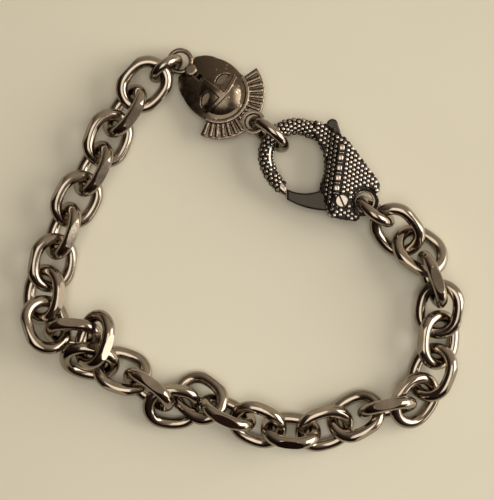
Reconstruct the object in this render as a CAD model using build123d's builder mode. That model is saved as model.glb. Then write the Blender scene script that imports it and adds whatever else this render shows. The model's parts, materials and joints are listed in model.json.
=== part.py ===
"""A cable-chain bracelet with a lobster clasp and a cast helmet charm, lying closed on a table.

Millimetres, +Z up. The origin is on the table, in the middle of the lying loop.
"""
import math
import os
from collections import namedtuple

import numpy as np
from build123d import *

# Link: an oval of round wire with a flat cut on each outer long side
LINK_WIRE = 1.0
LINK_LENGTH = 9.9
LINK_WIDTH = 8.3
LINK_END_RADIUS = 3.05
FLAT_DEPTH = 0.35

# Middle of the lying loop, measured from the point under the eye that read the places below
MIDDLE_X = -0.74
MIDDLE_Y = 0.09

# Resting: air between metal that bears, and how the loose pieces are laid down
CLEARANCE = 0.12
SETTLE_STEPS = 420
PULL_STEPS = 320
SINK_STEPS = 360
PULL_BACK = 0.03
SINK = 0.006
PUSH_SHARE = 0.7
GYRATION = 7.0
NEAR = 12.0
RIM_CORNER = 0.05
TINY = 1e-12

# Points along each wire's centre line, for laying it down
LINK_ARC_POINTS = 20
HOOK_ARC_POINTS = 14
RING_POINTS = 48

# Each link as it lies: place, heading, pitch and roll in degrees, and lift above the table
Lie = namedtuple("Lie", "x y heading pitch roll lift")
LINKS = [
    Lie(-17.0, 26.6, -132, 0, -22, 1.0),
    Lie(-20.0, 22.5, -119, 0, 64, 0.0),
    Lie(-22.6, 18.4, -110, 0, -24, 1.0),
    Lie(-25.0, 13.3, -115, 0, 64, 0.0),
    Lie(-27.8, 8.2, -118, 0, -24, 1.0),
    Lie(-30.0, 3.1, -108, 0, 64, 0.0),
    Lie(-31.8, -2.3, -98, 0, -24, 1.0),
    Lie(-33.2, -7.3, -95, 0, 42, 0.0),
    Lie(-32.5, -12.6, -72, 0, -33, 0.3),
    Lie(-28.5, -13.0, 6, 0, 60, 0.0),
    Lie(-24.5, -14.7, -115, -6, 56, 1.9),
    Lie(-25.8, -17.9, -28, 0, 48, 0.0),
    Lie(-20.4, -19.8, -18, 0, -26, 1.0),
    Lie(-16.1, -22.8, -40, 0, 64, 0.0),
    Lie(-11.9, -25.8, -12, 0, 34, 0.0),
    Lie(-7.8, -24.2, -40, 26, -24, 0.0),
    Lie(-3.1, -26.2, -30, 0, -63, 0.0),
    Lie(1.5, -28.5, -29, 0, 30, 0.6),
    Lie(7.2, -29.3, -7, 0, -64, 0.0),
    Lie(12.7, -29.2, 15, 0, 34, 0.0),
    Lie(17.9, -27.2, 30, 0, -25, 0.0),
    Lie(22.8, -25.7, 8, 0, 78, 0.0),
    Lie(27.3, -24.6, 52, 0, 30, 0.0),
    Lie(30.4, -20.0, 68, 0, -25, 0.0),
    Lie(31.3, -14.6, 87, 0, 38, 0.0),
    Lie(31.6, -9.6, 78, 0, -20, 0.4),
    Lie(29.8, -4.7, 105, 0, -80, 0.0),
    Lie(28.3, -0.2, 147, 0, 32, 0.8),
    Lie(24.4, 3.4, 127, 0, -22, 0.8),
]

# Round rings, with the radius of the wire's centre line and of the wire
Ring = namedtuple("Ring", "name x y heading pitch roll radius wire")
RINGS = [
    Ring("connecting_ring", -13.46, 29.77, 33, 0, 72, 2.4, 0.8),
    Ring("hook_ring", 3.54, 18.71, -38.5, 0, 80, 3.2, 0.83),
    Ring("base_ring", 21.0, 6.2, 145, 0, 72, 2.85, 0.86),
]

# Clasp, from its screw's axis and its middle plane
CLASP_X = 15.2
CLASP_Y = 8.0
CLASP_RISE = 2.2
CLASP_RISES_TOWARD = (-0.856, 0.519)
BODY_HALF = 2.8
BODY_EDGE_HALF = 1.3
BODY_WALL_HALF = 1.25
RIDGE_FROM = (0.1, 10.0)
RIDGE_TO = (-1.1, -4.0)
RIDGE_FLAT = 0.8
RIDGE_WALL = 2.2
SLOPE_REACH = 7.5
BODY_LENGTH = 12.0
NECK_FROM = 8.6
NECK_TO = 12.6
HOOK_CENTRE = (-7.3, 7.3)
HOOK_RADIUS = 4.85
HOOK_TIP_RADIUS = 8.8
HOOK_ROOT_RADIUS = 19.5
HOOK_LEFT = 200.0
HOOK_TIP = 238.0
HOOK_TIP_FACE = -8.86
HOOK_TOP = 75.0
HOOK_ROOT = 62.0
HOOK_TIP_WIRE = 0.78
HOOK_WIRE = 1.08
HOOK_TOP_WIRE = 1.2
HOOK_ROOT_WIRE = 1.4
EYE_X = 3.9
EYE_Y = -0.1
EYE_HOLE = 1.5
EYE_RIM = 2.2
EYE_RIM_HALF = 0.75
EYE_THROAT = 0.4
EYE_FACE = 2.35

# Lever and screw
LEVER_HALF = 1.0
SLOT_HALF = 1.1
HUB_RADIUS = 1.8
HUB_POCKET = 2.05
LEVER_EDGE = 0.3
PIN_RADIUS = 0.6
PIN_PLAY = 0.05
SEAT_RADIUS = 1.35
SEAT_HEIGHT = 2.45
HEAD_RADIUS = 1.0
HEAD_HEIGHT = 0.45
HEAD_SLOT_WIDTH = 0.3
HEAD_SLOT_DEPTH = 0.3
HEAD_SLOT_ANGLE = 114
PIN_BOTTOM = -2.2

# Charm, from the point halfway between its cast loop and the hole of its ring, crest up
CHARM_X = -4.915
CHARM_Y = 25.8
CHARM_HEADING = -130.2
CHARM_RISE = 6.0
CHARM_RISES_TOWARD = (0.78, -0.62)
BOWL_Y = 0.6
BOWL_HALF = 2.35
BOWL_SPHERE = 6.2
SHELL_HALF = 1.7
SHELL_SPHERE = 16.0
OPENING_FLOOR = 0.9
RELIEF = 0.22
BAND_WIDTH = 0.55
BAND_HALF = 1.1
BAND_MORE = 8.0
CREST_HALF = 0.65
CREST_FOOT = 4.9
CREST_TOP = 7.4
CREST_SPREAD = 150.0
RIB_HALF = 0.9
RIB_WIDTH = 0.42
RIB_EDGE = 0.3
RIB_COUNT = 17
RIB_STEP = 8.8
CREST_EYE_Y = 7.8
CREST_EYE_HOLE = 1.25
CREST_EYE_RIM = 2.0
CREST_EYE_EDGE = 0.3
CAST_LOOP_Y = -7.8
CAST_LOOP_Z = 0.8
CAST_LOOP_RADIUS = 1.8
CAST_LOOP_WIRE = 0.4
STUD_Y = -5.5
STUD_LOW = -0.9
STUD_HIGH = 1.25
STUD_RADIUS = 1.0
STUD_EDGE = 0.3


def arc_points(centre, radius, start, end, count):
    """Points along an arc, the last left out, in the plane z = 0."""
    angles = np.radians(np.linspace(start, end, count, endpoint=False))
    x = centre[0] + radius * np.cos(angles)
    y = centre[1] + radius * np.sin(angles)
    return np.stack([x, y, np.zeros(count)], 1)


def link_arcs():
    """Centre line of a link's wire as four tangent arcs: centre, radius, first angle, last angle."""
    half_length = LINK_LENGTH / 2 - LINK_WIRE
    half_width = LINK_WIDTH / 2 - LINK_WIRE
    reach = half_length - LINK_END_RADIUS
    side = (reach**2 + half_width**2 - LINK_END_RADIUS**2) / (2 * (half_width - LINK_END_RADIUS))
    half = math.degrees(math.asin(reach / (side - LINK_END_RADIUS)))
    drop = side - half_width
    return [
        ((0, -drop), side, 90 + half, 90 - half),
        ((reach, 0), LINK_END_RADIUS, 90 - half, half - 90),
        ((0, drop), side, half - 90, -90 - half),
        ((-reach, 0), LINK_END_RADIUS, -90 - half, half - 270),
    ]


def hook_arcs():
    """Centre line of the clasp's hook, from its tip to its root, as three tangent arcs."""
    arcs = [(HOOK_CENTRE, HOOK_RADIUS, HOOK_LEFT, HOOK_TOP)]
    for radius, junction, end, first in (
        (HOOK_TIP_RADIUS, HOOK_LEFT, HOOK_TIP, True),
        (HOOK_ROOT_RADIUS, HOOK_TOP, HOOK_ROOT, False),
    ):
        away = HOOK_RADIUS - radius
        x = HOOK_CENTRE[0] + away * math.cos(math.radians(junction))
        y = HOOK_CENTRE[1] + away * math.sin(math.radians(junction))
        if first:
            arcs.insert(0, ((x, y), radius, end, junction))
        else:
            arcs.append(((x, y), radius, junction, end))
    return arcs


def turn_matrix(heading, pitch, roll):
    """Columns are a piece's own axes: pitch lifts its front, roll lifts its left side."""
    h, p, r = (math.radians(angle) for angle in (heading, pitch, roll))
    yaw = np.array([[math.cos(h), -math.sin(h), 0], [math.sin(h), math.cos(h), 0], [0, 0, 1]])
    nose = np.array([[math.cos(p), 0, -math.sin(p)], [0, 1, 0], [math.sin(p), 0, math.cos(p)]])
    bank = np.array([[1, 0, 0], [0, math.cos(r), -math.sin(r)], [0, math.sin(r), math.cos(r)]])
    return yaw @ nose @ bank


def rise_matrix(toward, angle):
    """Axes of a flat piece whose side in the direction toward is raised by the angle."""
    lift = math.radians(angle)
    up = np.array([-toward[0] * math.sin(lift), -toward[1] * math.sin(lift), math.cos(lift)])
    up /= np.linalg.norm(up)
    across = np.array([1.0, 0, 0]) - up[0] * up
    across /= np.linalg.norm(across)
    return np.stack([across, np.cross(up, across), up], 1)


def small_turn(vector):
    """Rotation matrix of a rotation vector."""
    angle = np.linalg.norm(vector)
    if angle < TINY:
        return np.eye(3)
    x, y, z = vector / angle
    skew = np.array([[0, -z, y], [z, 0, -x], [-y, x, 0]])
    return np.eye(3) + math.sin(angle) * skew + (1 - math.cos(angle)) * skew @ skew


def turn_vector(matrix):
    """Rotation vector of a rotation matrix."""
    angle = math.acos(max(-1.0, min(1.0, (np.trace(matrix) - 1) / 2)))
    axis = np.array(
        [matrix[2, 1] - matrix[1, 2], matrix[0, 2] - matrix[2, 0], matrix[1, 0] - matrix[0, 1]]
    )
    length = np.linalg.norm(axis)
    return axis * angle / length if length > TINY else axis * 0


class Wire3d:
    """A wire's centre line with its radius, as it lies: loose, or fixed to a larger piece."""

    def __init__(self, name, line, wire, centre, turn, fixed=False):
        self.name = name
        self.line = line
        self.wire = wire
        self.centre = np.array(centre, float)
        self.turn = turn
        self.fixed = fixed
        self.first_centre = self.centre.copy()
        self.first_turn = turn.copy()

    def points(self):
        return self.line @ self.turn.T + self.centre

    def mobility(self, arm, normal):
        """How readily a push along normal at arm moves the wire."""
        return 0.0 if self.fixed else 1 + (np.cross(arm, normal) ** 2).sum() / GYRATION

    def push(self, arm, normal, amount):
        if self.fixed:
            return
        self.centre += normal * amount
        self.turn = small_turn(np.cross(arm, normal) * amount / GYRATION) @ self.turn


def settle(wires):
    """Lays the loose wires down near their places, so that no two come nearer than the clearance."""
    for step in range(SETTLE_STEPS):
        pull = PULL_BACK if step < PULL_STEPS else 0.0
        sink = SINK if step < SINK_STEPS else 0.0
        for wire in wires:
            if wire.fixed:
                continue
            wire.centre[:2] += pull * (wire.first_centre - wire.centre)[:2]
            wire.centre[2] -= sink
            wire.turn = small_turn(pull * turn_vector(wire.first_turn @ wire.turn.T)) @ wire.turn
        points = [wire.points() for wire in wires]
        for first, one in enumerate(wires):
            rest_on_table(one, points, first)
            for second in range(first + 1, len(wires)):
                part_pair(one, wires[second], points, first, second)


def rest_on_table(wire, points, index):
    """Lifts a loose wire's lowest point out of the table."""
    lowest = points[index][:, 2].argmin()
    depth = wire.wire - points[index][lowest, 2]
    if wire.fixed or depth <= 0:
        return
    up = np.array([0, 0, 1.0])
    arm = points[index][lowest] - wire.centre
    wire.push(arm, up, PUSH_SHARE * depth / wire.mobility(arm, up))
    points[index] = wire.points()


def part_pair(one, other, points, first, second):
    """Pushes two wires apart where they come nearest, if that is nearer than the clearance."""
    if one.fixed and other.fixed or np.linalg.norm(one.centre - other.centre) > NEAR:
        return
    between = points[first][:, None, :] - points[second][None, :, :]
    distance = np.sqrt((between**2).sum(2))
    a, b = divmod(distance.argmin(), distance.shape[1])
    depth = one.wire + other.wire + CLEARANCE - distance[a, b]
    if depth <= 0:
        return
    normal = between[a, b] / distance[a, b]
    arm_one = points[first][a] - one.centre
    arm_other = points[second][b] - other.centre
    amount = PUSH_SHARE * depth / (one.mobility(arm_one, normal) + other.mobility(arm_other, normal))
    one.push(arm_one, normal, amount)
    other.push(arm_other, normal, -amount)
    points[first] = one.points()
    points[second] = other.points()


def lying(name, line, wire, lie, lift):
    """A loose wire at the place in its row, its lowest point at the lift above the table."""
    turn = turn_matrix(lie.heading, lie.pitch, lie.roll)
    height = wire - (line @ turn.T)[:, 2].min() + lift
    return Wire3d(name, line, wire, (lie.x - MIDDLE_X, lie.y - MIDDLE_Y, height), turn)


def attached(name, line, wire, origin, turn):
    """A wire that belongs to the clasp or the charm, so that it stays where they put it."""
    points = line @ turn.T + origin
    middle = points.mean(0)
    return Wire3d(name, points - middle, wire, middle, np.eye(3), fixed=True)


def place(piece, location):
    """The finished piece, where it lies."""
    with BuildPart() as placed:
        with Locations(location):
            add(piece.part)
    return placed


def lowest(piece, turn):
    """Height of a piece's origin when it is turned and stands on the table."""
    turned = place(piece, located((0, 0, 0), turn))
    return -turned.part.bounding_box().min.Z


def write(piece, name):
    piece.part.label = name
    export_step(piece.part, f"parts/{name}.step")


def make_link():
    with BuildPart() as link:
        with BuildLine() as path:
            for centre, radius, start, end in link_arcs():
                CenterArc(centre, radius, start, end - start)
        with BuildSketch(Plane(origin=path.wire() @ 0, z_dir=path.wire() % 0)):
            Circle(LINK_WIRE)
        sweep(path=path.wire())
        for side in (1, -1):
            with Locations((0, side * (LINK_WIDTH / 2 - FLAT_DEPTH + LINK_WIRE), 0)):
                Box(LINK_LENGTH, 2 * LINK_WIRE, 2 * LINK_WIRE, mode=Mode.SUBTRACT)
    return link


def make_ring(radius, wire):
    with BuildPart() as ring:
        Torus(radius, wire)
    return ring


def make_hook():
    """The clasp's tapering hook, swept from its tip to its root."""
    arcs = hook_arcs()
    with BuildPart() as hook:
        with BuildLine() as path:
            for centre, radius, start, end in arcs:
                CenterArc(centre, radius, start, end - start)
        wire = path.wire()
        lengths = [abs(math.radians(end - start)) * radius for _, radius, start, end in arcs]
        total = sum(lengths)
        stations = (
            (0, HOOK_TIP_WIRE),
            (lengths[0] / total, HOOK_WIRE),
            ((lengths[0] + lengths[1]) / total, HOOK_TOP_WIRE),
            (1, HOOK_ROOT_WIRE),
        )
        for share, wire_radius in stations:
            with BuildSketch(Plane(origin=wire @ share, z_dir=wire % share)):
                Circle(wire_radius)
        sweep(path=wire, multisection=True)
    return hook


def make_clasp_body():
    """Hook and slotted body, one casting, with the base hole and the screw's seat."""
    hook = make_hook()
    along = Vector(RIDGE_TO[0] - RIDGE_FROM[0], RIDGE_TO[1] - RIDGE_FROM[1], 0)
    ridge_middle = (Vector(*RIDGE_FROM) + Vector(*RIDGE_TO)) / 2
    roof_plane = Plane(origin=ridge_middle, x_dir=Vector(0, 0, 1).cross(along), z_dir=along)
    with BuildPart() as body:
        # outline seen from above, with the round end about the base hole
        with BuildSketch():
            with BuildLine():
                Polyline((-4.1, 10.4), (-4.3, 13.0), (-2.2, 12.25), (-0.7, 11.2), (0.9, 9.8), (6.2, 2.9))
                Polyline((6.2, 2.9), (6.2, 1.9), (3.9, -1.7), (2.4, -3.1), (0.9, -2.95), (-1.4, -2.5))
                Polyline((-1.4, -2.5), (-1.9, -1.7), (-3.1, 1.7), (-3.1, 2.6))
                ThreePointArc((-3.1, 2.6), (-2.35, 6.4), (-4.1, 10.4))
            make_face()
            with Locations((EYE_X, EYE_Y)):
                Circle(EYE_RIM)
        extrude(amount=BODY_HALF, both=True)
        # roof section: a narrow flat ridge, a long slope to the back edge and a steep one to the opening
        with BuildSketch(roof_plane):
            with BuildLine():
                Polyline(
                    (-SLOPE_REACH, BODY_WALL_HALF),
                    (-RIDGE_WALL, BODY_WALL_HALF),
                    (-RIDGE_FLAT / 2, BODY_HALF),
                    (RIDGE_FLAT / 2, BODY_HALF),
                    (SLOPE_REACH, BODY_EDGE_HALF),
                    (SLOPE_REACH, 0),
                    (-SLOPE_REACH, 0),
                    close=True,
                )
            make_face()
            mirror(about=Plane.XZ)
        extrude(amount=BODY_LENGTH, both=True, mode=Mode.INTERSECT)
        # the ridge runs down to the hook's root
        for side in (1, -1):
            with BuildSketch(Plane.YZ):
                with BuildLine():
                    Polyline(
                        (NECK_FROM, side * BODY_HALF),
                        (NECK_TO, side * HOOK_ROOT_WIRE),
                        (NECK_TO, side * 2 * BODY_HALF),
                        (NECK_FROM, side * 2 * BODY_HALF),
                        close=True,
                    )
                make_face()
            extrude(amount=BODY_LENGTH, both=True, mode=Mode.SUBTRACT)
        add(hook.part)
        # the hook's tip ends upright, just short of the lever's gate
        with Locations((HOOK_TIP_FACE, 0, 0)):
            Box(
                -HOOK_TIP_FACE / 2,
                HOOK_CENTRE[1],
                2 * BODY_HALF,
                align=(Align.MIN, Align.CENTER, Align.CENTER),
                mode=Mode.SUBTRACT,
            )
        # seat of the screw's head
        with Locations((0, 0, SLOT_HALF)):
            Cylinder(SEAT_RADIUS, SEAT_HEIGHT - SLOT_HALF, align=(Align.CENTER, Align.CENTER, Align.MIN))
        with Locations((0, 0, SEAT_HEIGHT)):
            Cylinder(
                SEAT_RADIUS,
                BODY_HALF,
                align=(Align.CENTER, Align.CENTER, Align.MIN),
                mode=Mode.SUBTRACT,
            )
        # pocket that the lever swings in, open to the hook's opening and to the back edge
        with BuildSketch():
            with BuildLine():
                Polyline((-4.6, -1.95), (0, -1.95), (2.2, 1.0), (3.95, 7.0), (5.2, 14.5), (-2.75, 14.5))
                Polyline((-2.75, 14.5), (-2.75, 12.2), (-1.5, 8.0), (-1.5, 3.5), (-2.6, 3.2), (-4.6, 3.9))
                Line((-4.6, 3.9), (-4.6, -1.95))
            make_face()
            Circle(HUB_POCKET)
        extrude(amount=SLOT_HALF, both=True, mode=Mode.SUBTRACT)
        # hole for the screw, and base hole with its countersunk rim
        Cylinder(PIN_RADIUS + PIN_PLAY, 4 * BODY_HALF, mode=Mode.SUBTRACT)
        with BuildSketch(Plane.XZ.offset(-EYE_Y)):
            with BuildLine():
                Polyline(
                    (EYE_X, 0),
                    (EYE_X + EYE_HOLE, 0),
                    (EYE_X + EYE_HOLE, EYE_THROAT),
                    (EYE_X + EYE_RIM, EYE_RIM_HALF),
                    (EYE_X + EYE_FACE, EYE_RIM_HALF),
                    (EYE_X + EYE_FACE, BODY_HALF),
                    (EYE_X, BODY_HALF),
                    close=True,
                )
            make_face()
            mirror(about=Plane.XZ)
        revolve(axis=Axis((EYE_X, EYE_Y, 0), (0, 0, 1)), mode=Mode.SUBTRACT)
    return body


def make_lever():
    """Gate, hub and thumb tab in one plate."""
    with BuildPart() as lever:
        with BuildSketch():
            with BuildLine():
                Line((-8.7, 1.9), (-8.72, 0.25))
                ThreePointArc((-8.72, 0.25), (-5.9, -1.0), (-2.2, -1.6))
                Polyline((-2.2, -1.6), (0, -HUB_RADIUS), (1.5, 1.0), (0.85, 4.0), (0.7, 8.0), (0.35, 10.0))
                Line((0.35, 10.0), (-0.45, 12.55))
                ThreePointArc((-0.45, 12.55), (-1.4, 13.35), (-2.2, 12.6))
                Polyline((-2.2, 12.6), (-2.5, 12.0), (-1.3, 8.0), (-1.1, 4.0), (-1.3, 2.2), (-3.0, 1.85))
                ThreePointArc((-3.0, 1.85), (-5.9, 1.25), (-8.7, 1.9))
            make_face()
            Circle(HUB_RADIUS)
        extrude(amount=LEVER_HALF, both=True)
        fillet(lever.faces().filter_by(Axis.Z).edges(), LEVER_EDGE)
        Cylinder(PIN_RADIUS + PIN_PLAY, 4 * LEVER_HALF, mode=Mode.SUBTRACT)
    return lever


def make_screw():
    """The lever's pin, with a slotted head on its seat."""
    head_bottom = SEAT_HEIGHT + PIN_PLAY
    with BuildPart() as screw:
        with Locations((0, 0, PIN_BOTTOM)):
            Cylinder(PIN_RADIUS, head_bottom - PIN_BOTTOM, align=(Align.CENTER, Align.CENTER, Align.MIN))
        with Locations((0, 0, head_bottom)):
            Cylinder(HEAD_RADIUS, HEAD_HEIGHT, align=(Align.CENTER, Align.CENTER, Align.MIN))
        chamfer(screw.edges().sort_by(Axis.Z)[-1], HEAD_HEIGHT / 4)
        with Locations(Location((0, 0, head_bottom + HEAD_HEIGHT), (0, 0, HEAD_SLOT_ANGLE))):
            Box(4 * HEAD_RADIUS, HEAD_SLOT_WIDTH, 2 * HEAD_SLOT_DEPTH, mode=Mode.SUBTRACT)
    return screw


def lens(half, sphere):
    """A round lens of the given half thickness, cut from two spheres."""
    with BuildPart() as both:
        with Locations((0, 0, half - sphere)):
            Sphere(sphere)
        with Locations((0, 0, sphere - half)):
            Sphere(sphere, mode=Mode.INTERSECT)
    return both


def fan(inner, outer, spread):
    """The part of a ring between two radii that is within a spread about the charm's +Y."""
    far = 2 * outer
    half = math.radians(spread / 2)
    corner = (far * math.sin(half), far * math.cos(half))
    with BuildSketch() as sector:
        Circle(outer)
        if inner:
            Circle(inner, mode=Mode.SUBTRACT)
        with BuildLine():
            Polyline((0, 0), corner, (far, far), (-far, far), (-corner[0], corner[1]), close=True)
        make_face(mode=Mode.INTERSECT)
    return sector


def make_relief():
    """Nose guard and brow, as they stand proud of the charm's bowl on both faces."""
    raised = lens(BOWL_HALF + RELIEF, BOWL_SPHERE + RELIEF)
    with BuildPart() as relief:
        with BuildSketch():
            with BuildLine():
                Polyline((-0.3, -2.9), (0.3, -2.9), (0.55, 1.4), (-0.55, 1.4), close=True)
            make_face()
            with BuildLine():
                ThreePointArc((-4.2, 0.9), (0, 1.9), (4.2, 0.9))
                Line((4.2, 0.9), (4.2, 0.4))
                ThreePointArc((4.2, 0.4), (0, 1.35), (-4.2, 0.4))
                Line((-4.2, 0.4), (-4.2, 0.9))
            make_face()
        extrude(amount=2 * BOWL_HALF, both=True)
        with Locations((0, BOWL_Y, 0)):
            add(raised.part, mode=Mode.INTERSECT)
    return relief


def make_charm():
    """A crested helmet seen from the front, with a cast loop below and the hole of its ring above."""
    bowl = lens(BOWL_HALF, BOWL_SPHERE)
    shell = lens(SHELL_HALF, SHELL_SPHERE)
    relief = make_relief()
    crest = fan(0, CREST_TOP, CREST_SPREAD)
    comb = fan(CREST_FOOT, CREST_TOP - RIB_EDGE, CREST_SPREAD)
    band = fan(CREST_FOOT - BAND_WIDTH, CREST_FOOT, CREST_SPREAD + BAND_MORE)
    with BuildSketch() as opening:
        with BuildLine():
            ThreePointArc((0.75, -0.75), (2.0, 0.15), (3.5, 0.0))
            ThreePointArc((3.5, 0.0), (2.3, -1.15), (0.75, -0.75))
        make_face()
        mirror(about=Plane.YZ)
    with BuildPart() as stud:
        with Locations((0, 0, STUD_LOW)):
            Cylinder(STUD_RADIUS, STUD_HIGH - STUD_LOW, align=(Align.CENTER, Align.CENTER, Align.MIN))
        fillet(stud.edges().filter_by(GeomType.CIRCLE), STUD_EDGE)
    with BuildPart() as charm:
        # cheek guards, thinner towards their edges
        with BuildSketch():
            with BuildLine():
                ThreePointArc((-4.7, 1.2), (0, 5.4), (4.7, 1.2))
                ThreePointArc((4.7, 1.2), (4.9, -1.2), (4.3, -3.4))
                ThreePointArc((4.3, -3.4), (3.5, -5.2), (2.1, -6.5))
                ThreePointArc((2.1, -6.5), (1.0, -6.0), (0.45, -4.8))
                Polyline((0.45, -4.8), (0.45, -3.1), (-0.45, -3.1), (-0.45, -4.8))
                ThreePointArc((-0.45, -4.8), (-1.0, -6.0), (-2.1, -6.5))
                ThreePointArc((-2.1, -6.5), (-3.5, -5.2), (-4.3, -3.4))
                ThreePointArc((-4.3, -3.4), (-4.9, -1.2), (-4.7, 1.2))
            make_face()
        extrude(amount=BOWL_HALF, both=True)
        add(shell.part, mode=Mode.INTERSECT)
        with Locations((0, BOWL_Y, 0)):
            add(bowl.part)
        # eye openings, sunk from both faces
        for side in (1, -1):
            with BuildSketch(Plane.XY.offset(side * OPENING_FLOOR)):
                add(opening.sketch)
            extrude(amount=side * BOWL_HALF, mode=Mode.SUBTRACT)
        add(relief.part)
        # crest with its band and ribs, and the round rim of its ring's hole
        with BuildSketch():
            with Locations((0, BOWL_Y)):
                add(crest.sketch)
            with Locations((0, CREST_EYE_Y)):
                Circle(CREST_EYE_RIM)
        extrude(amount=CREST_HALF, both=True)
        with BuildSketch():
            with Locations((0, BOWL_Y)):
                add(band.sketch)
        extrude(amount=BAND_HALF, both=True)
        rib_first = 90 - RIB_STEP * (RIB_COUNT - 1) / 2
        with BuildSketch():
            with Locations((0, BOWL_Y)):
                with PolarLocations(0, RIB_COUNT, rib_first, RIB_STEP * RIB_COUNT):
                    Rectangle(2 * CREST_TOP, RIB_WIDTH, align=(Align.MIN, Align.CENTER))
                add(comb.sketch, mode=Mode.INTERSECT)
            with Locations((0, CREST_EYE_Y)):
                Circle(CREST_EYE_RIM, mode=Mode.SUBTRACT)
        extrude(amount=RIB_HALF, both=True)
        with Locations((0, CREST_EYE_Y)):
            Cylinder(CREST_EYE_HOLE, 4 * CREST_HALF, mode=Mode.SUBTRACT)
        circles = charm.edges().filter_by(GeomType.CIRCLE)
        fillet(circles.filter_by(lambda edge: abs(edge.radius - CREST_EYE_HOLE) < TINY), CREST_EYE_EDGE)
        # cast loop, and the stud between the guards that carries it
        with Locations((0, CAST_LOOP_Y, CAST_LOOP_Z)):
            Torus(CAST_LOOP_RADIUS, CAST_LOOP_WIRE)
        with Locations((0, STUD_Y, 0)):
            add(stud.part)
    return charm


def rim_wall(hole, rim):
    """Radius of a wire that stands for the wall between a hole and its rim, corners included."""
    return (rim - hole) / 2 + RIM_CORNER


def rim_lines(centre, hole, rim, half):
    """Two stacked circles that stand for the wall between a hole and its rim."""
    wall = rim_wall(hole, rim)
    lines = []
    for side in (-1, 1):
        line = arc_points(centre, (hole + rim) / 2, 0, 360, RING_POINTS)
        line[:, 2] = side * (half - wall)
        lines.append(line)
    return lines


def lay_out(clasp_origin, clasp_turn, charm_origin, charm_turn):
    """All wires as they lie, after they have settled against each other, the clasp and the charm."""
    link_line = np.concatenate([arc_points(*arc, LINK_ARC_POINTS) for arc in link_arcs()])
    hook_line = np.concatenate([arc_points(*arc, HOOK_ARC_POINTS) for arc in hook_arcs()])
    wires = [
        lying(f"link_{number:02d}", link_line, LINK_WIRE, lie, lie.lift)
        for number, lie in enumerate(LINKS, 1)
    ]
    for ring in RINGS:
        line = arc_points((0, 0), ring.radius, 0, 360, RING_POINTS)
        wires.append(lying(ring.name, line, ring.wire, ring, 0.0))
    loose = list(wires)
    wires.append(attached("hook", hook_line, HOOK_WIRE, clasp_origin, clasp_turn))
    base_rims = rim_lines((EYE_X, EYE_Y), EYE_HOLE, EYE_RIM, EYE_RIM_HALF)
    crest_rims = rim_lines((0, CREST_EYE_Y), CREST_EYE_HOLE, CREST_EYE_RIM, CREST_HALF)
    for line in base_rims:
        wires.append(attached("base_rim", line, rim_wall(EYE_HOLE, EYE_RIM), clasp_origin, clasp_turn))
    for line in crest_rims:
        wall = rim_wall(CREST_EYE_HOLE, CREST_EYE_RIM)
        wires.append(attached("crest_rim", line, wall, charm_origin, charm_turn))
    loop_line = arc_points((0, CAST_LOOP_Y), CAST_LOOP_RADIUS, 0, 360, RING_POINTS)
    loop_line[:, 2] = CAST_LOOP_Z
    wires.append(attached("cast_loop", loop_line, CAST_LOOP_WIRE, charm_origin, charm_turn))
    settle(wires)
    sunk = min(wire.points()[:, 2].min() - wire.wire for wire in loose)
    for wire in wires:
        wire.centre[2] -= sunk
    return loose, wires, -sunk


def nearest_gap(wires):
    """The smallest air between two wires, one of them loose."""
    gaps = []
    for index, one in enumerate(wires):
        for other in wires[index + 1:]:
            if not (one.fixed and other.fixed):
                between = one.points()[:, None, :] - other.points()[None, :, :]
                air = np.sqrt((between**2).sum(2)).min() - one.wire - other.wire
                gaps.append((round(float(air), 3), one.name, other.name))
    return min(gaps)


def located(origin, turn):
    """Where a piece's own origin and axes lie."""
    return Location(Plane(origin=tuple(origin), x_dir=tuple(turn[:, 0]), z_dir=tuple(turn[:, 2])))


if __name__ == "__main__":
    os.makedirs("parts", exist_ok=True)

    clasp_body = make_clasp_body()
    clasp_turn = rise_matrix(CLASP_RISES_TOWARD, CLASP_RISE)
    clasp_origin = np.array([CLASP_X - MIDDLE_X, CLASP_Y - MIDDLE_Y, lowest(clasp_body, clasp_turn)])
    charm = make_charm()
    charm_turn = rise_matrix(CHARM_RISES_TOWARD, CHARM_RISE) @ turn_matrix(CHARM_HEADING, 0, 0)
    charm_origin = np.array([CHARM_X - MIDDLE_X, CHARM_Y - MIDDLE_Y, lowest(charm, charm_turn)])

    # the loose pieces settle against the two castings, then all is raised onto the table
    loose, wires, lift = lay_out(clasp_origin, clasp_turn, charm_origin, charm_turn)
    clasp_origin[2] += lift
    charm_origin[2] += lift
    print("smallest gap", nearest_gap(wires))
    print("screw axis", clasp_origin, clasp_turn[:, 2])

    clasp_location = located(clasp_origin, clasp_turn)
    write(place(clasp_body, clasp_location), "clasp_body")
    write(place(make_lever(), clasp_location), "clasp_lever")
    write(place(make_screw(), clasp_location), "clasp_screw")
    write(place(charm, located(charm_origin, charm_turn)), "charm")
    link = make_link()
    for wire in loose[: len(LINKS)]:
        write(place(link, located(wire.centre, wire.turn)), wire.name)
    for ring, wire in zip(RINGS, loose[len(LINKS):]):
        write(place(make_ring(ring.radius, ring.wire), located(wire.centre, wire.turn)), ring.name)
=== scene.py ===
"""The lying bracelet, dressed and lit: polished links, a granulated clasp and a cast charm.

Lengths in the tables and constants below are in millimetres; the scene itself is in metres.
"""
import json
import math
from collections import namedtuple

import bmesh
import bpy
import numpy as np
from mathutils import Matrix, Vector
from mathutils.bvhtree import BVHTree
from mathutils.kdtree import KDTree


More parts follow.
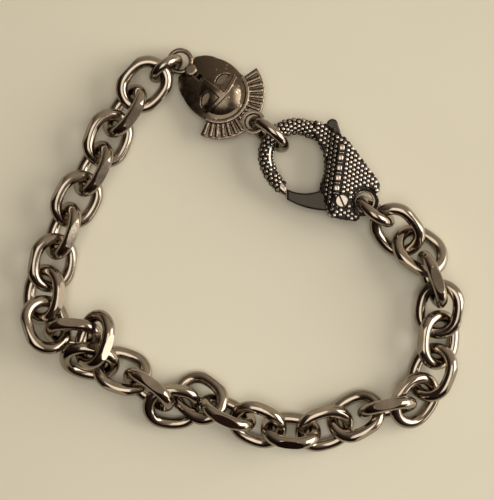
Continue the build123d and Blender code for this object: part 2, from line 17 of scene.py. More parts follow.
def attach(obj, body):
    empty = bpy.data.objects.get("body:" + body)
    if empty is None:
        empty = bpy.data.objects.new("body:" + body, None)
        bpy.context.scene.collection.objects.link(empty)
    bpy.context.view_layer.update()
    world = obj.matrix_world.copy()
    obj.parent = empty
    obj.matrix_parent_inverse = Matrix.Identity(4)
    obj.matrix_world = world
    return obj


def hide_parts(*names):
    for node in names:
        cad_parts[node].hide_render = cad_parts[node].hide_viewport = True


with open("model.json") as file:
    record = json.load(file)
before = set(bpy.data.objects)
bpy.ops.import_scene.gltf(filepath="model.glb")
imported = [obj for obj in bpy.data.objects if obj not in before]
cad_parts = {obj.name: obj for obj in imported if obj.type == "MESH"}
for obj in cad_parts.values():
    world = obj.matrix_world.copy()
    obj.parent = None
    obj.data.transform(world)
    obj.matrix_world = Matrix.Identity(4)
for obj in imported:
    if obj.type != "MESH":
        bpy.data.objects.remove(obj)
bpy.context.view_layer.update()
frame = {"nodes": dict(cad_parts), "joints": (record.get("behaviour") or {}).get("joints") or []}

MM = 0.001
BODY = "bracelet"
LINK_NAMES = sorted(name for name in frame["nodes"] if name.startswith("link_"))

# Links: round wire bent to an oval, with a flat cut on each outer long side
LINK_WIRE = 1.0
LINK_LENGTH = 9.9
LINK_WIDTH = 8.3
LINK_END_RADIUS = 3.05
LINK_FLAT_DEPTH = 0.35
LINK_SIDES = 40
LINK_END_STATIONS = 36
LINK_SIDE_STATIONS = 16
RING_SIDES = 32
RING_STATIONS = 96
SHARP_ANGLE = 20.0

# Castings: size of the voxels and smoothing passes that round their edges
CLASP_VOXEL = 0.09
CLASP_PASSES = 3
CHARM_VOXEL = 0.075
CHARM_PASSES = 5
SOFTEN_SHARE = 0.5

# Rings: radius of the wire
RING_WIRES = {"connecting_ring": 0.8, "hook_ring": 0.83, "base_ring": 0.86}

# Clasp, measured from its screw in the plane of the hook
RIDGE_TOP = Vector((0.0, 8.6, 0))
RIDGE_END = Vector((-0.98, 1.25, 0))
SCREW_CLEAR = 1.5
EYE = Vector((3.9, -0.1, 0))
EYE_WORN = 1.75
EYE_CLEAR = 2.6
HOOK_CENTRE = Vector((-7.3, 7.3, 0))
HOOK_RADIUS = 4.85
HOOK_TIP_RADIUS = 8.8
HOOK_ROOT_RADIUS = 19.5
HOOK_LEFT = 200.0
HOOK_TIP = 234.0
HOOK_TOP = 75.0
HOOK_ROOT = 62.0
HOOK_EDGE = -4.2
HOOK_ROWS = 32
ABOVE = 8.0
STEP_REACH = 0.17
STEP_HEIGHT = 0.32

# Worn places of the hook: a bright strip inside its bend, and its tip
STRIP_FROM = 158.0
STRIP_TO = 202.0
STRIP_LOW = 116.0
STRIP_HIGH = 152.0
TIP_WORN_X = -9.85
TIP_WORN_Y = 2.9

# Grains of the clasp; spacings named NEAREST are shares of the pitch
BEAD_PITCH = 0.75
BEAD_RADIUS = 0.36
BEAD_SINK = 0.03
BEAD_SIDES = 12
BEAD_LEVELS = (0, 18, 34, 48)
# Rows of each grain below this one are painted dark: painted shade at the grain's foot
BEAD_SHADE_BELOW = 2
BEAD_TOP = 0.88
BEAD_NEAREST = 0.86
BEAD_FILL = 2
BEAD_ROWS_HEADING = -37.0
BEAD_ROWS = 18
FACE_LEAST_UP = 0.55
HOOK_MOST_GIRTH = 1.7
SIDE_MOST_UP = 0.35
SIDE_NEAREST = 0.9
SIDE_NEAREST_OWN = 0.95
SIDE_LOOK_FROM = 0.2

# Screw: depth of its slot, and how far out the painted shade inside the slot reaches
SLOT_DEPTH = 0.3
SLOT_REACH = 0.95
SLOPE_LEAST = 0.3
SLOPE_MOST = 0.9
HAIR = 0.001

# Bead-and-reel moulding on the clasp's ridge: half sizes along, across and up
MOULDING_BEADS = 5
BEAD_HALF = (0.55, 0.52, 0.42)
REEL_HALF = (0.12, 0.5, 0.34)
MOULDING_SINK = 0.12
MOULDING_CLEAR = 0.78
MOULDING_POWER = 0.65
MOULDING_SIDES = 24
MOULDING_LEVELS = 12

# Charm: how it lies, how far past its middle its loop reaches, and the balls its domes are cut from
CHARM_HEADING = -130.2
CHARM_RISE = 6.0
CHARM_RISES_TOWARD = (0.78, -0.62)
CHARM_LOOP_MORE = 0.1
Dome = namedtuple("Dome", "y half ball")
DOMES = [Dome(0.6, 2.35, 6.2), Dome(0.6, 2.57, 6.42), Dome(0.0, 1.7, 16.0)]
DOME_REACH = 0.06

# Floor and camera: the picture is taken from straight above
FLOOR_HALF = 600.0
FLOOR_CLEAR = 0.01
EYE_HEIGHT = 270.0
VIEW_HEIGHT = 82.5
EYE_X = 0.74
EYE_Y = -0.09
CLIP_START = 10.0

# Lamps, in metres and watts: a warm ceiling, a window on the right and a low one beside it
Lamp = namedtuple("Lamp", "name place size power colour")
LAMPS = [
    Lamp("overhead", (0.0, -0.06, 0.48), (0.3, 0.4), 0.76, (1.0, 0.945, 0.84)),
    Lamp("window", (0.6, 0.04, 0.3), (0.5, 0.5), 3.9, (1.0, 0.95, 0.86)),
    Lamp("low_window", (0.6, -0.3, 0.07), (0.28, 0.13), 0.4, (1.0, 0.95, 0.85)),
]

# Room: the direction of its bright side, and its light from the dark side to the bright one
ROOM_BRIGHT_SIDE = (0.6, 0.7, 0.39)
ROOM_LIGHT = [
    (0.15, (0.008, 0.005, 0.005)),
    (0.35, (0.045, 0.021, 0.016)),
    (0.5, (0.032, 0.025, 0.02)),
    (0.68, (0.2, 0.165, 0.127)),
    (0.85, (0.43, 0.362, 0.28)),
    (1.0, (0.54, 0.46, 0.355)),
]

# Noise is used between these two values
NOISE_LOW = 0.3
NOISE_HIGH = 0.7

# Colours of the metals and the table; link steel, satin, ground and table run between two of them
LINK_COLOURS = [(0.35, (0.33, 0.28, 0.228)), (0.65, (0.415, 0.358, 0.296))]
SATIN_COLOURS = [(0.3, (0.038, 0.033, 0.028)), (0.7, (0.053, 0.046, 0.039))]
GROUND_COLOURS = [(0.35, (0.012, 0.010, 0.009)), (0.7, (0.04, 0.034, 0.03))]
TABLE_COLOURS = [(0.3, (0.73, 0.69, 0.56)), (0.7, (0.77, 0.735, 0.605))]
TABLE_ROUGHNESS = 0.3
CHARM_COLOURS = [(0.44, (0.026, 0.019, 0.013)), (0.5, (0.142, 0.11, 0.08)), (0.56, (0.55, 0.45, 0.34))]
CHARM_ROUGHNESS = (0.2, 0.32)
GRAIN_LIGHT = 0.6
WORN_LIGHT = 0.5


def new_material(name):
    """A node material with a Principled shader; returns the material, its nodes, links and shader."""
    material = bpy.data.materials.new(name)
    material.use_nodes = True
    nodes = material.node_tree.nodes
    links = material.node_tree.links
    return material, nodes, links, nodes["Principled BSDF"]


def ramp_between(nodes, links, source, stops):
    """A colour ramp fed by a socket; stops are (position, colour) pairs."""
    ramp = nodes.new("ShaderNodeValToRGB")
    elements = ramp.color_ramp.elements
    while len(elements) < len(stops):
        elements.new(0.5)
    for element, (position, colour) in zip(elements, stops):
        element.position = position
        element.color = (*colour, 1)
    links.new(source, ramp.inputs["Fac"])
    return ramp.outputs["Color"]


def noise(nodes, links, scale, detail=3.0, stretch=(1, 1, 1)):
    """Noise over the object's own coordinates, in features per metre."""
    place = nodes.new("ShaderNodeTexCoord")
    mapping = nodes.new("ShaderNodeMapping")
    mapping.inputs["Scale"].default_value = stretch
    texture = nodes.new("ShaderNodeTexNoise")
    texture.inputs["Scale"].default_value = scale
    texture.inputs["Detail"].default_value = detail
    links.new(place.outputs["Object"], mapping.inputs["Vector"])
    links.new(mapping.outputs["Vector"], texture.inputs["Vector"])
    return texture.outputs["Fac"]


def mapped(nodes, links, source, low, high):
    """Noise mapped onto a range."""
    ranged = nodes.new("ShaderNodeMapRange")
    ranged.inputs["From Min"].default_value = NOISE_LOW
    ranged.inputs["From Max"].default_value = NOISE_HIGH
    ranged.inputs["To Min"].default_value = low
    ranged.inputs["To Max"].default_value = high
    links.new(source, ranged.inputs["Value"])
    return ranged.outputs["Result"]


def bump(nodes, links, shader, source, height):
    """Surface bump of a height in metres."""
    node = nodes.new("ShaderNodeBump")
    node.inputs["Distance"].default_value = height
    links.new(source, node.inputs["Height"])
    links.new(node.outputs["Normal"], shader.inputs["Normal"])


def polished_steel():
    """Darkened stainless steel: warm grey, nearly mirror smooth, faintly cloudy and scratched."""
    material, nodes, links, shader = new_material("darkened_steel")
    shader.inputs["Metallic"].default_value = 1.0
    cloud = noise(nodes, links, 350.0)
    links.new(ramp_between(nodes, links, cloud, LINK_COLOURS), shader.inputs["Base Color"])
    links.new(mapped(nodes, links, cloud, 0.1, 0.17), shader.inputs["Roughness"])
    scratches = noise(nodes, links, 5000.0, 2.0, (0.25, 1, 1))
    bump(nodes, links, shader, scratches, 0.000003)
    return material


def satin_steel():
    """Satin finish, brushed along the lever."""
    material, nodes, links, shader = new_material("satin_steel")
    shader.inputs["Metallic"].default_value = 1.0
    brushed = noise(nodes, links, 2500.0, 3.0, (0.15, 1, 1))
    links.new(ramp_between(nodes, links, brushed, SATIN_COLOURS), shader.inputs["Base Color"])
    links.new(mapped(nodes, links, brushed, 0.3, 0.42), shader.inputs["Roughness"])
    bump(nodes, links, shader, brushed, 0.000006)
    return material


def cast_steel():
    """Antiqued casting: dark in its recesses, rubbed bright on its edges."""
    material, nodes, links, shader = new_material("charm_steel")
    shader.inputs["Metallic"].default_value = 1.0
    geometry = nodes.new("ShaderNodeNewGeometry")
    colour = ramp_between(nodes, links, geometry.outputs["Pointiness"], CHARM_COLOURS)
    links.new(colour, shader.inputs["Base Color"])
    grain = noise(nodes, links, 1200.0)
    links.new(mapped(nodes, links, grain, *CHARM_ROUGHNESS), shader.inputs["Roughness"])
    bump(nodes, links, shader, grain, 0.00001)
    return material


def black_ground():
    """The blackened ground between the clasp's grains."""
    material, nodes, links, shader = new_material("black_ground")
    shader.inputs["Metallic"].default_value = 0.6
    grain = noise(nodes, links, 2500.0, 4.0)
    links.new(ramp_between(nodes, links, grain, GROUND_COLOURS), shader.inputs["Base Color"])
    links.new(mapped(nodes, links, grain, 0.45, 0.65), shader.inputs["Roughness"])
    bump(nodes, links, shader, grain, 0.00002)
    return material


def bead_steel(name, light):
    """Rubbed steel of the grains, the moulding and the screw's head."""
    material, nodes, links, shader = new_material(name)
    shader.inputs["Metallic"].default_value = 1.0
    cloud = noise(nodes, links, 900.0)
    worn_in = (light * 0.8, light * 0.69, light * 0.6)
    rubbed = (light, light * 0.88, light * 0.78)
    colour = ramp_between(nodes, links, cloud, [(0.35, worn_in), (0.65, rubbed)])
    links.new(colour, shader.inputs["Base Color"])
    links.new(mapped(nodes, links, cloud, 0.2, 0.3), shader.inputs["Roughness"])
    return material


def table_top():
    """Pale, softly glossy table top."""
    material, nodes, links, shader = new_material("table_top")
    cloud = noise(nodes, links, 14.0, 2.0)
    links.new(ramp_between(nodes, links, cloud, TABLE_COLOURS), shader.inputs["Base Color"])
    shader.inputs["Roughness"].default_value = TABLE_ROUGHNESS
    return material


def mesh_object(name, vertices, faces, material):
    """A piece from vertices and faces, in the collection of the scene."""
    mesh = bpy.data.meshes.new(name)
    mesh.from_pydata([tuple(v) for v in vertices], [], [tuple(f) for f in faces])
    mesh.materials.append(material)
    mesh.shade_smooth()
    return put(name, mesh)


def put(name, mesh):
    """An object of its own for a mesh."""
    thing = bpy.data.objects.new(name, mesh)
    bpy.context.scene.collection.objects.link(thing)
    return thing


def tube(line, wire, sides):
    """Vertices and faces of a closed round tube about a flat, closed centre line."""
    count = len(line)
    ahead = np.roll(line, -1, 0) - np.roll(line, 1, 0)
    ahead /= np.linalg.norm(ahead, axis=1)[:, None]
    up = np.array([0, 0, 1.0])
    out = np.cross(ahead, up)
    angles = np.linspace(0, 2 * math.pi, sides, endpoint=False)
    ring = np.cos(angles)[None, :, None] * out[:, None, :] + np.sin(angles)[None, :, None] * up
    vertices = (line[:, None, :] + wire * ring).reshape(-1, 3)
    faces = []
    for i in range(count):
        j = (i + 1) % count
        for a in range(sides):
            b = (a + 1) % sides
            faces.append((i * sides + a, i * sides + b, j * sides + b, j * sides + a))
    return vertices, faces


def arc_points(centre, radius, start, end, count):
    """Points along an arc, the last left out, in the plane z = 0."""
    angles = np.radians(np.linspace(start, end, count, endpoint=False))
    return np.stack(
        [centre[0] + radius * np.cos(angles), centre[1] + radius * np.sin(angles), np.zeros(count)], 1
    )


def link_line():
    """Centre line of a link's wire: two wide arcs along its sides and two tight ones at its ends."""
    half_length = LINK_LENGTH / 2 - LINK_WIRE
    half_width = LINK_WIDTH / 2 - LINK_WIRE
    reach = half_length - LINK_END_RADIUS
    side = (reach**2 + half_width**2 - LINK_END_RADIUS**2) / (2 * (half_width - LINK_END_RADIUS))
    half = math.degrees(math.asin(reach / (side - LINK_END_RADIUS)))
    drop = side - half_width
    return np.concatenate([
        arc_points((0, -drop), side, 90 + half, 90 - half, LINK_SIDE_STATIONS),
        arc_points((reach, 0), LINK_END_RADIUS, 90 - half, half - 90, LINK_END_STATIONS),
        arc_points((0, drop), side, half - 90, -90 - half, LINK_SIDE_STATIONS),
        arc_points((-reach, 0), LINK_END_RADIUS, -90 - half, half - 270, LINK_END_STATIONS),
    ])


def link_mesh(material):
    """One link with its two flats, lying along X in the plane z = 0."""
    vertices, faces = tube(link_line() * MM, LINK_WIRE * MM, LINK_SIDES)
    mesh = bpy.data.meshes.new("link")
    mesh.from_pydata([tuple(v) for v in vertices], [], faces)
    work = bmesh.new()
    work.from_mesh(mesh)
    bmesh.ops.recalc_face_normals(work, faces=work.faces)
    cut = (LINK_WIDTH / 2 - LINK_FLAT_DEPTH) * MM
    for side in (1, -1):
        everything = list(work.verts) + list(work.edges) + list(work.faces)
        bmesh.ops.bisect_plane(
            work, geom=everything, plane_co=(0, side * cut, 0), plane_no=(0, side, 0), clear_outer=True
        )
        open_edges = [edge for edge in work.edges if edge.is_boundary]
        bmesh.ops.holes_fill(work, edges=open_edges, sides=0)
    bmesh.ops.recalc_face_normals(work, faces=work.faces)
    bmesh.ops.triangulate(work, faces=[face for face in work.faces if len(face.verts) > 4])
    work.to_mesh(mesh)
    work.free()
    mesh.materials.append(material)
    mesh.shade_smooth()
    mesh.set_sharp_from_angle(angle=math.radians(SHARP_ANGLE))
    return mesh


def placement(node):
    """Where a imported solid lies: its own long, middle and short axes, and its centre of volume."""
    mesh = frame["nodes"][node].data
    mesh.calc_loop_triangles()
    points = np.zeros(len(mesh.vertices) * 3)
    mesh.vertices.foreach_get("co", points)
    corners = np.zeros(len(mesh.loop_triangles) * 3, int)
    mesh.loop_triangles.foreach_get("vertices", corners)
    a, b, c = points.reshape(-1, 3)[corners.reshape(-1, 3)].transpose(1, 0, 2)
    volume = np.einsum("ij,ij->i", a, np.cross(b, c)) / 6
    total = volume.sum()
    centre = (volume[:, None] * (a + b + c)).sum(0) / (4 * total)
    a, b, c = a - centre, b - centre, c - centre
    spread = sum(np.einsum("k,ki,kj->ij", volume, p, p) for p in (a, b, c, a + b + c)) / (20 * total)
    turn = np.linalg.eigh(spread)[1][:, ::-1].copy()
    if np.linalg.det(turn) < 0:
        turn[:, 2] *= -1
    if turn[2, 2] < 0:
        turn[:, 1:] *= -1
    return Matrix.LocRotScale(Vector(centre), Matrix(turn.tolist()), None)


def dress_links(material):
    """Every link gets the finer mesh, at its own place."""
    mesh = link_mesh(material)
    for name in LINK_NAMES:
        own = mesh.copy()
        own.transform(placement(name))
        finish_piece(put("wire_" + name, own), "link_steel", name)


def dress_rings(material):
    """Round rings of finer wire, at their own places."""
    for name, wire in RING_WIRES.items():
        place = placement(name)
        low, high = own_extent(name, place)
        radius = (high - low)[0] / 2 - wire * MM
        line = arc_points((0, 0), radius, 0, 360, RING_STATIONS)
        vertices, faces = tube(line, wire * MM, RING_SIDES)
        piece = mesh_object("wire_" + name, vertices, faces, material)
        piece.data.transform(place)
        finish_piece(piece, "ring_steel", name)


def own_extent(node, place):
    """Lowest and highest corner of a node in its own axes."""
    back = place.inverted()
    points = np.array([back @ vertex.co for vertex in frame["nodes"][node].data.vertices])
    return Vector(points.min(0)), Vector(points.max(0))


def finish_piece(piece, slot, *nodes):
    """Rides the piece on the bracelet's body and hides the imported nodes it stands in for."""
    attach(piece, BODY)
    if nodes:
        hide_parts(*nodes)


def cast_copy(node, name, voxel, passes, material):
    """A casting's mesh with softly rounded edges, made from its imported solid."""
    rough = put(name + "_rough", frame["nodes"][node].data.copy())
    remesh = rough.modifiers.new("voxels", "REMESH")
    remesh.mode = "VOXEL"
    remesh.voxel_size = voxel * MM
    soften = rough.modifiers.new("soften", "SMOOTH")
    soften.factor = SOFTEN_SHARE
    soften.iterations = passes
    graph = bpy.context.evaluated_depsgraph_get()
    mesh = bpy.data.meshes.new_from_object(rough.evaluated_get(graph))
    mesh.name = name
    mesh.materials.clear()
    mesh.materials.append(material)
    mesh.shade_smooth()
    bpy.data.objects.remove(rough)
    return put(name, mesh)


def clasp_axes():
    """The clasp's own frame: origin at the screw's axis in the plane of the hook."""
    joint = frame["joints"][0]
    up = Vector(joint["axis"]).normalized()
    across = (Vector((1, 0, 0)) - up.x * up).normalized()
    turn = Matrix((across, up.cross(across), up)).transposed()
    return Matrix.LocRotScale(Vector(joint["pos_m"]), turn, None)


def on_hook(angle):
    """A point of the hook's centre line, at an angle about the bend's centre, and the outward direction."""
    outward = Vector((math.cos(math.radians(angle)), math.sin(math.radians(angle)), 0))
    centre, radius = HOOK_CENTRE, HOOK_RADIUS
    if angle > HOOK_LEFT:
        centre, radius = arc_centre(HOOK_LEFT, HOOK_TIP_RADIUS), HOOK_TIP_RADIUS
    if angle < HOOK_TOP:
        centre, radius = arc_centre(HOOK_TOP, HOOK_ROOT_RADIUS), HOOK_ROOT_RADIUS
    return centre + outward * radius, outward


def hook_angle(run):
    """Angle on the hook after a run along its centre line from the tip."""
    for start, end, radius in (
        (HOOK_TIP, HOOK_LEFT, HOOK_TIP_RADIUS),
        (HOOK_LEFT, HOOK_TOP, HOOK_RADIUS),
        (HOOK_TOP, HOOK_ROOT, HOOK_ROOT_RADIUS),
    ):
        length = math.radians(start - end) * radius
        if run <= length:
            break
        run -= length
    return start - math.degrees(run / radius)


def arc_centre(junction, radius):
    """Centre of an arc that leaves the hook's bend at a junction angle."""
    away = HOOK_RADIUS - radius
    turn = math.radians(junction)
    return HOOK_CENTRE + Vector((math.cos(turn), math.sin(turn), 0)) * away


def worn(local):
    """Whether a spot of the casting, in the clasp's own frame, is rubbed smooth and bright."""
    flat = Vector((local.x, local.y, 0))
    if (flat - EYE).length < EYE_WORN:
        return True
    if local.x > TIP_WORN_X and local.x < HOOK_EDGE and local.y < TIP_WORN_Y:
        return True
    from_bend = flat - HOOK_CENTRE
    angle = math.degrees(math.atan2(from_bend.y, from_bend.x)) % 360
    if not STRIP_FROM < angle < STRIP_TO:
        return False
    turn = math.degrees(math.atan2(abs(local.z), from_bend.length - HOOK_RADIUS))
    return STRIP_LOW < turn < STRIP_HIGH


def bead_shape():
    """A half ball with a rubbed top: its vertices, its faces, and whether each face is on the bright top;
    the lower faces get painted shade.
    """
    vertices = []
    for level in BEAD_LEVELS:
        for k in range(BEAD_SIDES):
            turn = 2 * math.pi * k / BEAD_SIDES
            flat = math.cos(math.radians(level))
            vertices.append((flat * math.cos(turn), flat * math.sin(turn), math.sin(math.radians(level))))
    vertices.append((0, 0, BEAD_TOP))
    faces = []
    tops = []
    for row in range(len(BEAD_LEVELS) - 1):
        for k in range(BEAD_SIDES):
            low, high = row * BEAD_SIDES, (row + 1) * BEAD_SIDES
            after = (k + 1) % BEAD_SIDES
            faces.append((low + k, low + after, high + after, high + k))
            tops.append(row >= BEAD_SHADE_BELOW)
    last = (len(BEAD_LEVELS) - 1) * BEAD_SIDES
    for k in range(BEAD_SIDES):
        faces.append((last + k, last + (k + 1) % BEAD_SIDES, len(vertices) - 1))
        tops.append(True)
    return np.array(vertices), faces, tops


def bead_field(name, spots, bright, dark):
    """Half balls joined into one piece; spots are (place, outward) pairs. Their tops are bright steel, and
    their lower flanks take the dark ground as painted shade.
    """
    shape, shape_faces, tops = bead_shape()
    vertices = []
    faces = []
    for place, outward in spots:
        turn = np.array(outward.to_track_quat("Z", "Y").to_matrix())
        start = len(vertices)
        foot = np.array(place - outward * BEAD_SINK * MM)
        placed = shape @ turn.T * BEAD_RADIUS * MM + foot
        placed[:, 2] = placed[:, 2].clip(FLOOR_CLEAR * MM)
        vertices.extend(placed)
        faces.extend(tuple(start + index for index in face) for face in shape_faces)
    piece = mesh_object(name, vertices, faces, bright)
    piece.data.materials.append(dark)
    # Faces below the top rows get the dark material: painted shade on each grain's lower flank
    piece.data.polygons.foreach_set("material_index", [0 if top else 1 for top in tops] * len(spots))
    return piece


def face_spots(surface, axes, fineness=1):
    """Where grains sit on the body's two faces, in a triangular grid."""
    pitch = BEAD_PITCH / fineness
    reach = BEAD_ROWS * fineness
    heading = math.radians(BEAD_ROWS_HEADING)
    along = Vector((math.cos(heading), math.sin(heading), 0))
    across = Vector((-along.y, along.x, 0))
    spots = []
    for side in (1, -1):
        for row in range(-reach, reach + 1):
            for column in range(-reach, reach + 1):
                shift = column + (row % 2) / 2
                local = along * shift * pitch + across * row * pitch * math.sqrt(3) / 2
                if free_on_face(local):
                    spots.extend(face_spot(surface, axes, local, side))
    return spots


def face_spot(surface, axes, local, side):
    """The spot of the casting above or below a point of the clasp's plane, if it is not at a step."""
    down = (axes.to_3x3() @ Vector((0, 0, -side))).normalized()
    start = axes @ ((local + Vector((0, 0, side * ABOVE))) * MM)
    place, outward, _, distance = surface.ray_cast(start, down)
    if place is None or outward.dot(-down) < FACE_LEAST_UP:
        return []
    for x, y in ((1, 0), (-1, 0), (0, 1), (0, -1)):
        beside = local + Vector((x, y, 0)) * STEP_REACH + Vector((0, 0, side * ABOVE))
        hit = surface.ray_cast(axes @ (beside * MM), down)
        if hit[0] is None or abs(hit[3] - distance) > STEP_HEIGHT * MM:
            return []
    return [(place, outward)]


def free_on_face(local):
    """Whether the moulding, the screw, the eye and the hook leave a point of the clasp's plane free."""
    run = RIDGE_END - RIDGE_TOP
    share = max(0.0, min(1.0, (local - RIDGE_TOP).dot(run) / run.length_squared))
    return (
        (local - RIDGE_TOP - run * share).length > MOULDING_CLEAR
        and local.length > SCREW_CLEAR
        and (local - EYE).length > EYE_CLEAR
        and local.x > HOOK_EDGE
    )


def hook_spots(surface, axes, fineness=1):
    """Where grains sit round the hook, from its tip to its root."""
    spots = []
    for number in range(HOOK_ROWS * fineness):
        angle = hook_angle(number * BEAD_PITCH * math.sqrt(3) / 2 / fineness)
        middle, outward = on_hook(angle)
        start = axes @ (middle * MM)
        girth = surface.ray_cast(start, axes.to_3x3() @ outward)
        around = 0
        if girth[0] is not None:
            around = fineness * round(2 * math.pi * girth[3] / MM / BEAD_PITCH)
        for k in range(around):
            turn = 2 * math.pi * (k + (number % 2) / 2) / around
            away = outward * math.cos(turn) + Vector((0, 0, math.sin(turn)))
            direction = (axes.to_3x3() @ away).normalized()
            hit, _, _, distance = surface.ray_cast(start, direction)
            if hit is None or distance > HOOK_MOST_GIRTH * MM:
                continue
            if not worn(axes.inverted() @ hit / MM):
                spots.append((hit, direction))
    return spots


def spaced(spots):
    """The spots without those that are too near an earlier one."""
    places = np.array([place for place, _ in spots])
    nearest = (BEAD_PITCH * BEAD_NEAREST * MM) ** 2
    kept = []
    for number, place in enumerate(places):
        if not kept or ((places[kept] - place) ** 2).sum(1).min() > nearest:
            kept.append(number)
    return [spots[number] for number in kept]


def side_spots(body, surface, axes, spots):
    """Grains that fill the casting's outer sides, as close as the others."""
    inverse = axes.inverted()
    taken = KDTree(len(spots))
    for number, (place, _) in enumerate(spots):
        taken.insert(place, number)
    taken.balance()
    added = []
    for vertex in body.data.vertices:
        local = inverse @ vertex.co / MM
        outward = vertex.normal
        if local.x < HOOK_EDGE or worn(local) or abs((inverse.to_3x3() @ outward).z) > SIDE_MOST_UP:
            continue
        if taken.find(vertex.co)[2] < BEAD_PITCH * SIDE_NEAREST * MM:
            continue
        if any((place - vertex.co).length < BEAD_PITCH * SIDE_NEAREST_OWN * MM for place, _ in added):
            continue
        if surface.ray_cast(vertex.co + outward * SIDE_LOOK_FROM * MM, outward)[0] is None:
            added.append((vertex.co.copy(), outward.copy()))
    return added


def pebble(middle, turn, halves):
    """Vertices and faces of a rounded block."""
    vertices = []
    for level in range(MOULDING_LEVELS + 1):
        tilt = math.pi * (level / MOULDING_LEVELS - 0.5)
        for k in range(MOULDING_SIDES):
            angle = 2 * math.pi * k / MOULDING_SIDES
            shape = (
                rounded(math.cos(tilt)) * rounded(math.cos(angle)),
                rounded(math.cos(tilt)) * rounded(math.sin(angle)),
                rounded(math.sin(tilt)),
            )
            vertices.append(middle + turn @ Vector([a * b * MM for a, b in zip(shape, halves)]))
    faces = []
    for level in range(MOULDING_LEVELS):
        for k in range(MOULDING_SIDES):
            low, high = level * MOULDING_SIDES, (level + 1) * MOULDING_SIDES
            after = (k + 1) % MOULDING_SIDES
            faces.append((low + k, low + after, high + after, high + k))
    return vertices, faces


def rounded(value):
    """A sine or cosine made fuller, so that a ball turns into a rounded block."""
    return math.copysign(abs(value) ** MOULDING_POWER, value)


def moulding(axes, surface, side, material):
    """Bead-and-reel moulding along the clasp's ridge, on one face."""
    run = RIDGE_END - RIDGE_TOP
    forward = run.normalized()
    up = Vector((0, 0, side))
    turn = axes.to_3x3() @ Matrix((forward, up.cross(forward), up)).transposed()
    down = (axes.to_3x3() @ -up).normalized()
    period = run.length / (MOULDING_BEADS - 0.5)
    vertices = []
    faces = []
    for number in range(2 * MOULDING_BEADS):
        share = (number // 2 + 0.5 * (number % 2)) * period
        start = axes @ ((RIDGE_TOP + forward * share + up * ABOVE) * MM)
        place = surface.ray_cast(start, down)[0] + down * MOULDING_SINK * MM
        more, more_faces = pebble(place, turn, REEL_HALF if number % 2 else BEAD_HALF)
        faces.extend(tuple(len(vertices) + index for index in face) for face in more_faces)
        vertices.extend(more)
    for vertex in vertices:
        vertex.z = max(vertex.z, FLOOR_CLEAR * MM)
    return mesh_object("moulding_upper" if side > 0 else "moulding_lower", vertices, faces, material)


def dress_clasp(ground, bead, bright, satin):
    """Granulated casting with its worn places, moulding, satin lever and screw."""
    axes = clasp_axes()
    inverse = axes.inverted()
    body = cast_copy("clasp_body", "clasp_casting", CLASP_VOXEL, CLASP_PASSES, ground)
    body.data.materials.append(bright)
    rubbed = [1 if worn(inverse @ face.center / MM) else 0 for face in body.data.polygons]
    body.data.polygons.foreach_set("material_index", rubbed)
    finish_piece(body, "clasp_oxidised", "clasp_body")
    surface = BVHTree.FromObject(body, bpy.context.evaluated_depsgraph_get())
    spots = face_spots(surface, axes) + hook_spots(surface, axes)
    spots += face_spots(surface, axes, BEAD_FILL) + hook_spots(surface, axes, BEAD_FILL)
    spots = spaced(spots)
    spots += side_spots(body, surface, axes, spots)
    # The grains' lower flanks take the dark ground material as painted shade
    finish_piece(bead_field("clasp_grains", spots, bead, ground), "clasp_oxidised")
    for side in (1, -1):
        finish_piece(moulding(axes, surface, side, bright), "clasp_oxidised")
    assign("clasp_lever", satin)
    dress_screw(axes, bright, ground)


def dress_screw(axes, bright, dark):
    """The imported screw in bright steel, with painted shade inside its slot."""
    inverse = axes.inverted()
    mesh = frame["nodes"]["clasp_screw"].data.copy()
    mesh.materials.clear()
    mesh.materials.append(bright)
    mesh.materials.append(dark)
    top = max((inverse @ vertex.co).z for vertex in mesh.vertices)
    for face in mesh.polygons:
        middle = inverse @ face.center
        facing = inverse.to_3x3() @ face.normal
        in_slot = top - (SLOT_DEPTH + HAIR) * MM < middle.z < top - HAIR * MM
        sloping = SLOPE_LEAST < facing.z < SLOPE_MOST
        # Faces in the slot, apart from its sloping sides, take the dark material as painted shade
        face.material_index = 1 if in_slot and not sloping and middle.xy.length < SLOT_REACH * MM else 0
    finish_piece(put("screw", mesh), "screw_steel", "clasp_screw")


def assign(node, material):
    """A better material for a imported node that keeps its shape."""
    for slot in frame["nodes"][node].material_slots:
        slot.material = material


def charm_axes():
    """The charm's own frame: origin in the middle of its bowl's plane, crest along +Y."""
    lift = math.radians(CHARM_RISE)
    toward = Vector((*CHARM_RISES_TOWARD, 0))
    up = (Vector((0, 0, math.cos(lift))) - toward * math.sin(lift)).normalized()
    across = (Vector((1, 0, 0)) - up.x * up).normalized()
    turn = Matrix((across, up.cross(across), up)).transposed()
    turn = turn @ Matrix.Rotation(math.radians(CHARM_HEADING), 3, "Z")
    low, high = own_extent("charm", turn.to_4x4())
    middle = (low + high) / 2 + Vector((0, CHARM_LOOP_MORE, 0)) * MM
    return Matrix.LocRotScale(turn @ middle, turn, None)


def round_domes(mesh, axes):
    """Lays the vertices near the charm's balls exactly onto them, so that no facet is left."""
    points = np.zeros(len(mesh.vertices) * 3)
    mesh.vertices.foreach_get("co", points)
    turn = np.array(axes.to_3x3())
    origin = np.array(axes.translation)
    local = (points.reshape(-1, 3) - origin) @ turn / MM
    for dome in DOMES:
        for side in (1, -1):
            away = local - np.array([0, dome.y, side * (dome.half - dome.ball)])
            length = np.linalg.norm(away, axis=1)
            share = np.clip(2 - 2 * abs(length - dome.ball) / DOME_REACH, 0, 1) * (local[:, 2] * side > 0)
            local += away * ((dome.ball / length - 1) * share)[:, None]
    mesh.vertices.foreach_set("co", (local * MM @ turn.T + origin).ravel())
    mesh.update()


def dress_charm(material):
    """The cast charm, with softened edges and smooth domes."""
    piece = cast_copy("charm", "charm_casting", CHARM_VOXEL, CHARM_PASSES, material)
    round_domes(piece.data, charm_axes())
    finish_piece(piece, "charm_steel", "charm")


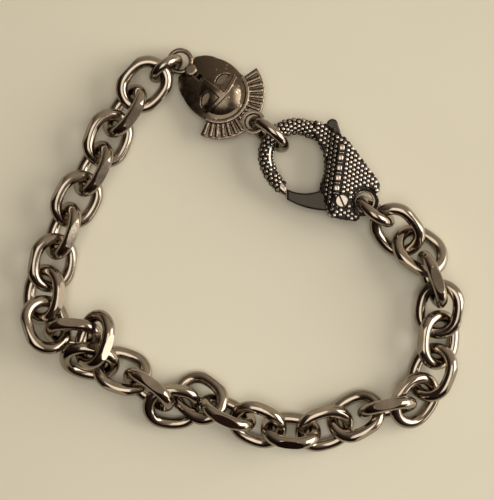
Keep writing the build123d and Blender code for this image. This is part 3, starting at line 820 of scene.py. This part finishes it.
def build_floor(material):
    """A plain pale table top under the bracelet."""
    half = FLOOR_HALF * MM
    corners = [(-half, -half, 0), (half, -half, 0), (half, half, 0), (-half, half, 0)]
    floor = mesh_object("floor", corners, [(0, 1, 2, 3)], material)


def build_lamp(lamp):
    """A soft rectangular light that faces the middle of the bracelet."""
    data = bpy.data.lights.new(lamp.name, "AREA")
    data.shape = "RECTANGLE"
    data.size, data.size_y = lamp.size
    data.energy = lamp.power
    data.color = lamp.colour
    thing = bpy.data.objects.new(lamp.name, data)
    thing.location = lamp.place
    thing.rotation_euler = (-Vector(lamp.place)).to_track_quat("-Z", "Y").to_euler()
    thing.visible_camera = False
    bpy.context.scene.collection.objects.link(thing)


def build_room():
    """A dim room round the lamps, brighter on one side."""
    world = bpy.data.worlds.new("room")
    bpy.context.scene.world = world
    world.use_nodes = True
    nodes = world.node_tree.nodes
    links = world.node_tree.links
    place = nodes.new("ShaderNodeTexCoord")
    facing = nodes.new("ShaderNodeVectorMath")
    facing.operation = "DOT_PRODUCT"
    facing.inputs[1].default_value = ROOM_BRIGHT_SIDE
    links.new(place.outputs["Generated"], facing.inputs[0])
    share = nodes.new("ShaderNodeMath")
    share.operation = "MULTIPLY_ADD"
    share.inputs[1].default_value = 0.5
    share.inputs[2].default_value = 0.5
    links.new(facing.outputs["Value"], share.inputs[0])
    colour = ramp_between(nodes, links, share.outputs["Value"], ROOM_LIGHT)
    links.new(colour, nodes["Background"].inputs["Color"])


def build_camera():
    """Straight down, from the height that gives the photograph's scale."""
    data = bpy.data.cameras.new("camera")
    data.angle = 2 * math.atan(VIEW_HEIGHT / 2 / EYE_HEIGHT)
    data.clip_start = CLIP_START * MM
    camera = bpy.data.objects.new("camera", data)
    camera.location = (EYE_X * MM, EYE_Y * MM, EYE_HEIGHT * MM)
    bpy.context.scene.collection.objects.link(camera)
    bpy.context.scene.camera = camera


steel = polished_steel()
dress_links(steel)
dress_rings(steel)
grain_steel = bead_steel("bead_steel", GRAIN_LIGHT)
worn_steel = bead_steel("worn_steel", WORN_LIGHT)
dress_clasp(black_ground(), grain_steel, worn_steel, satin_steel())
dress_charm(cast_steel())
build_floor(table_top())
for lamp in LAMPS:
    build_lamp(lamp)
build_room()
build_camera()
bpy.context.scene.view_settings.view_transform = "Standard"
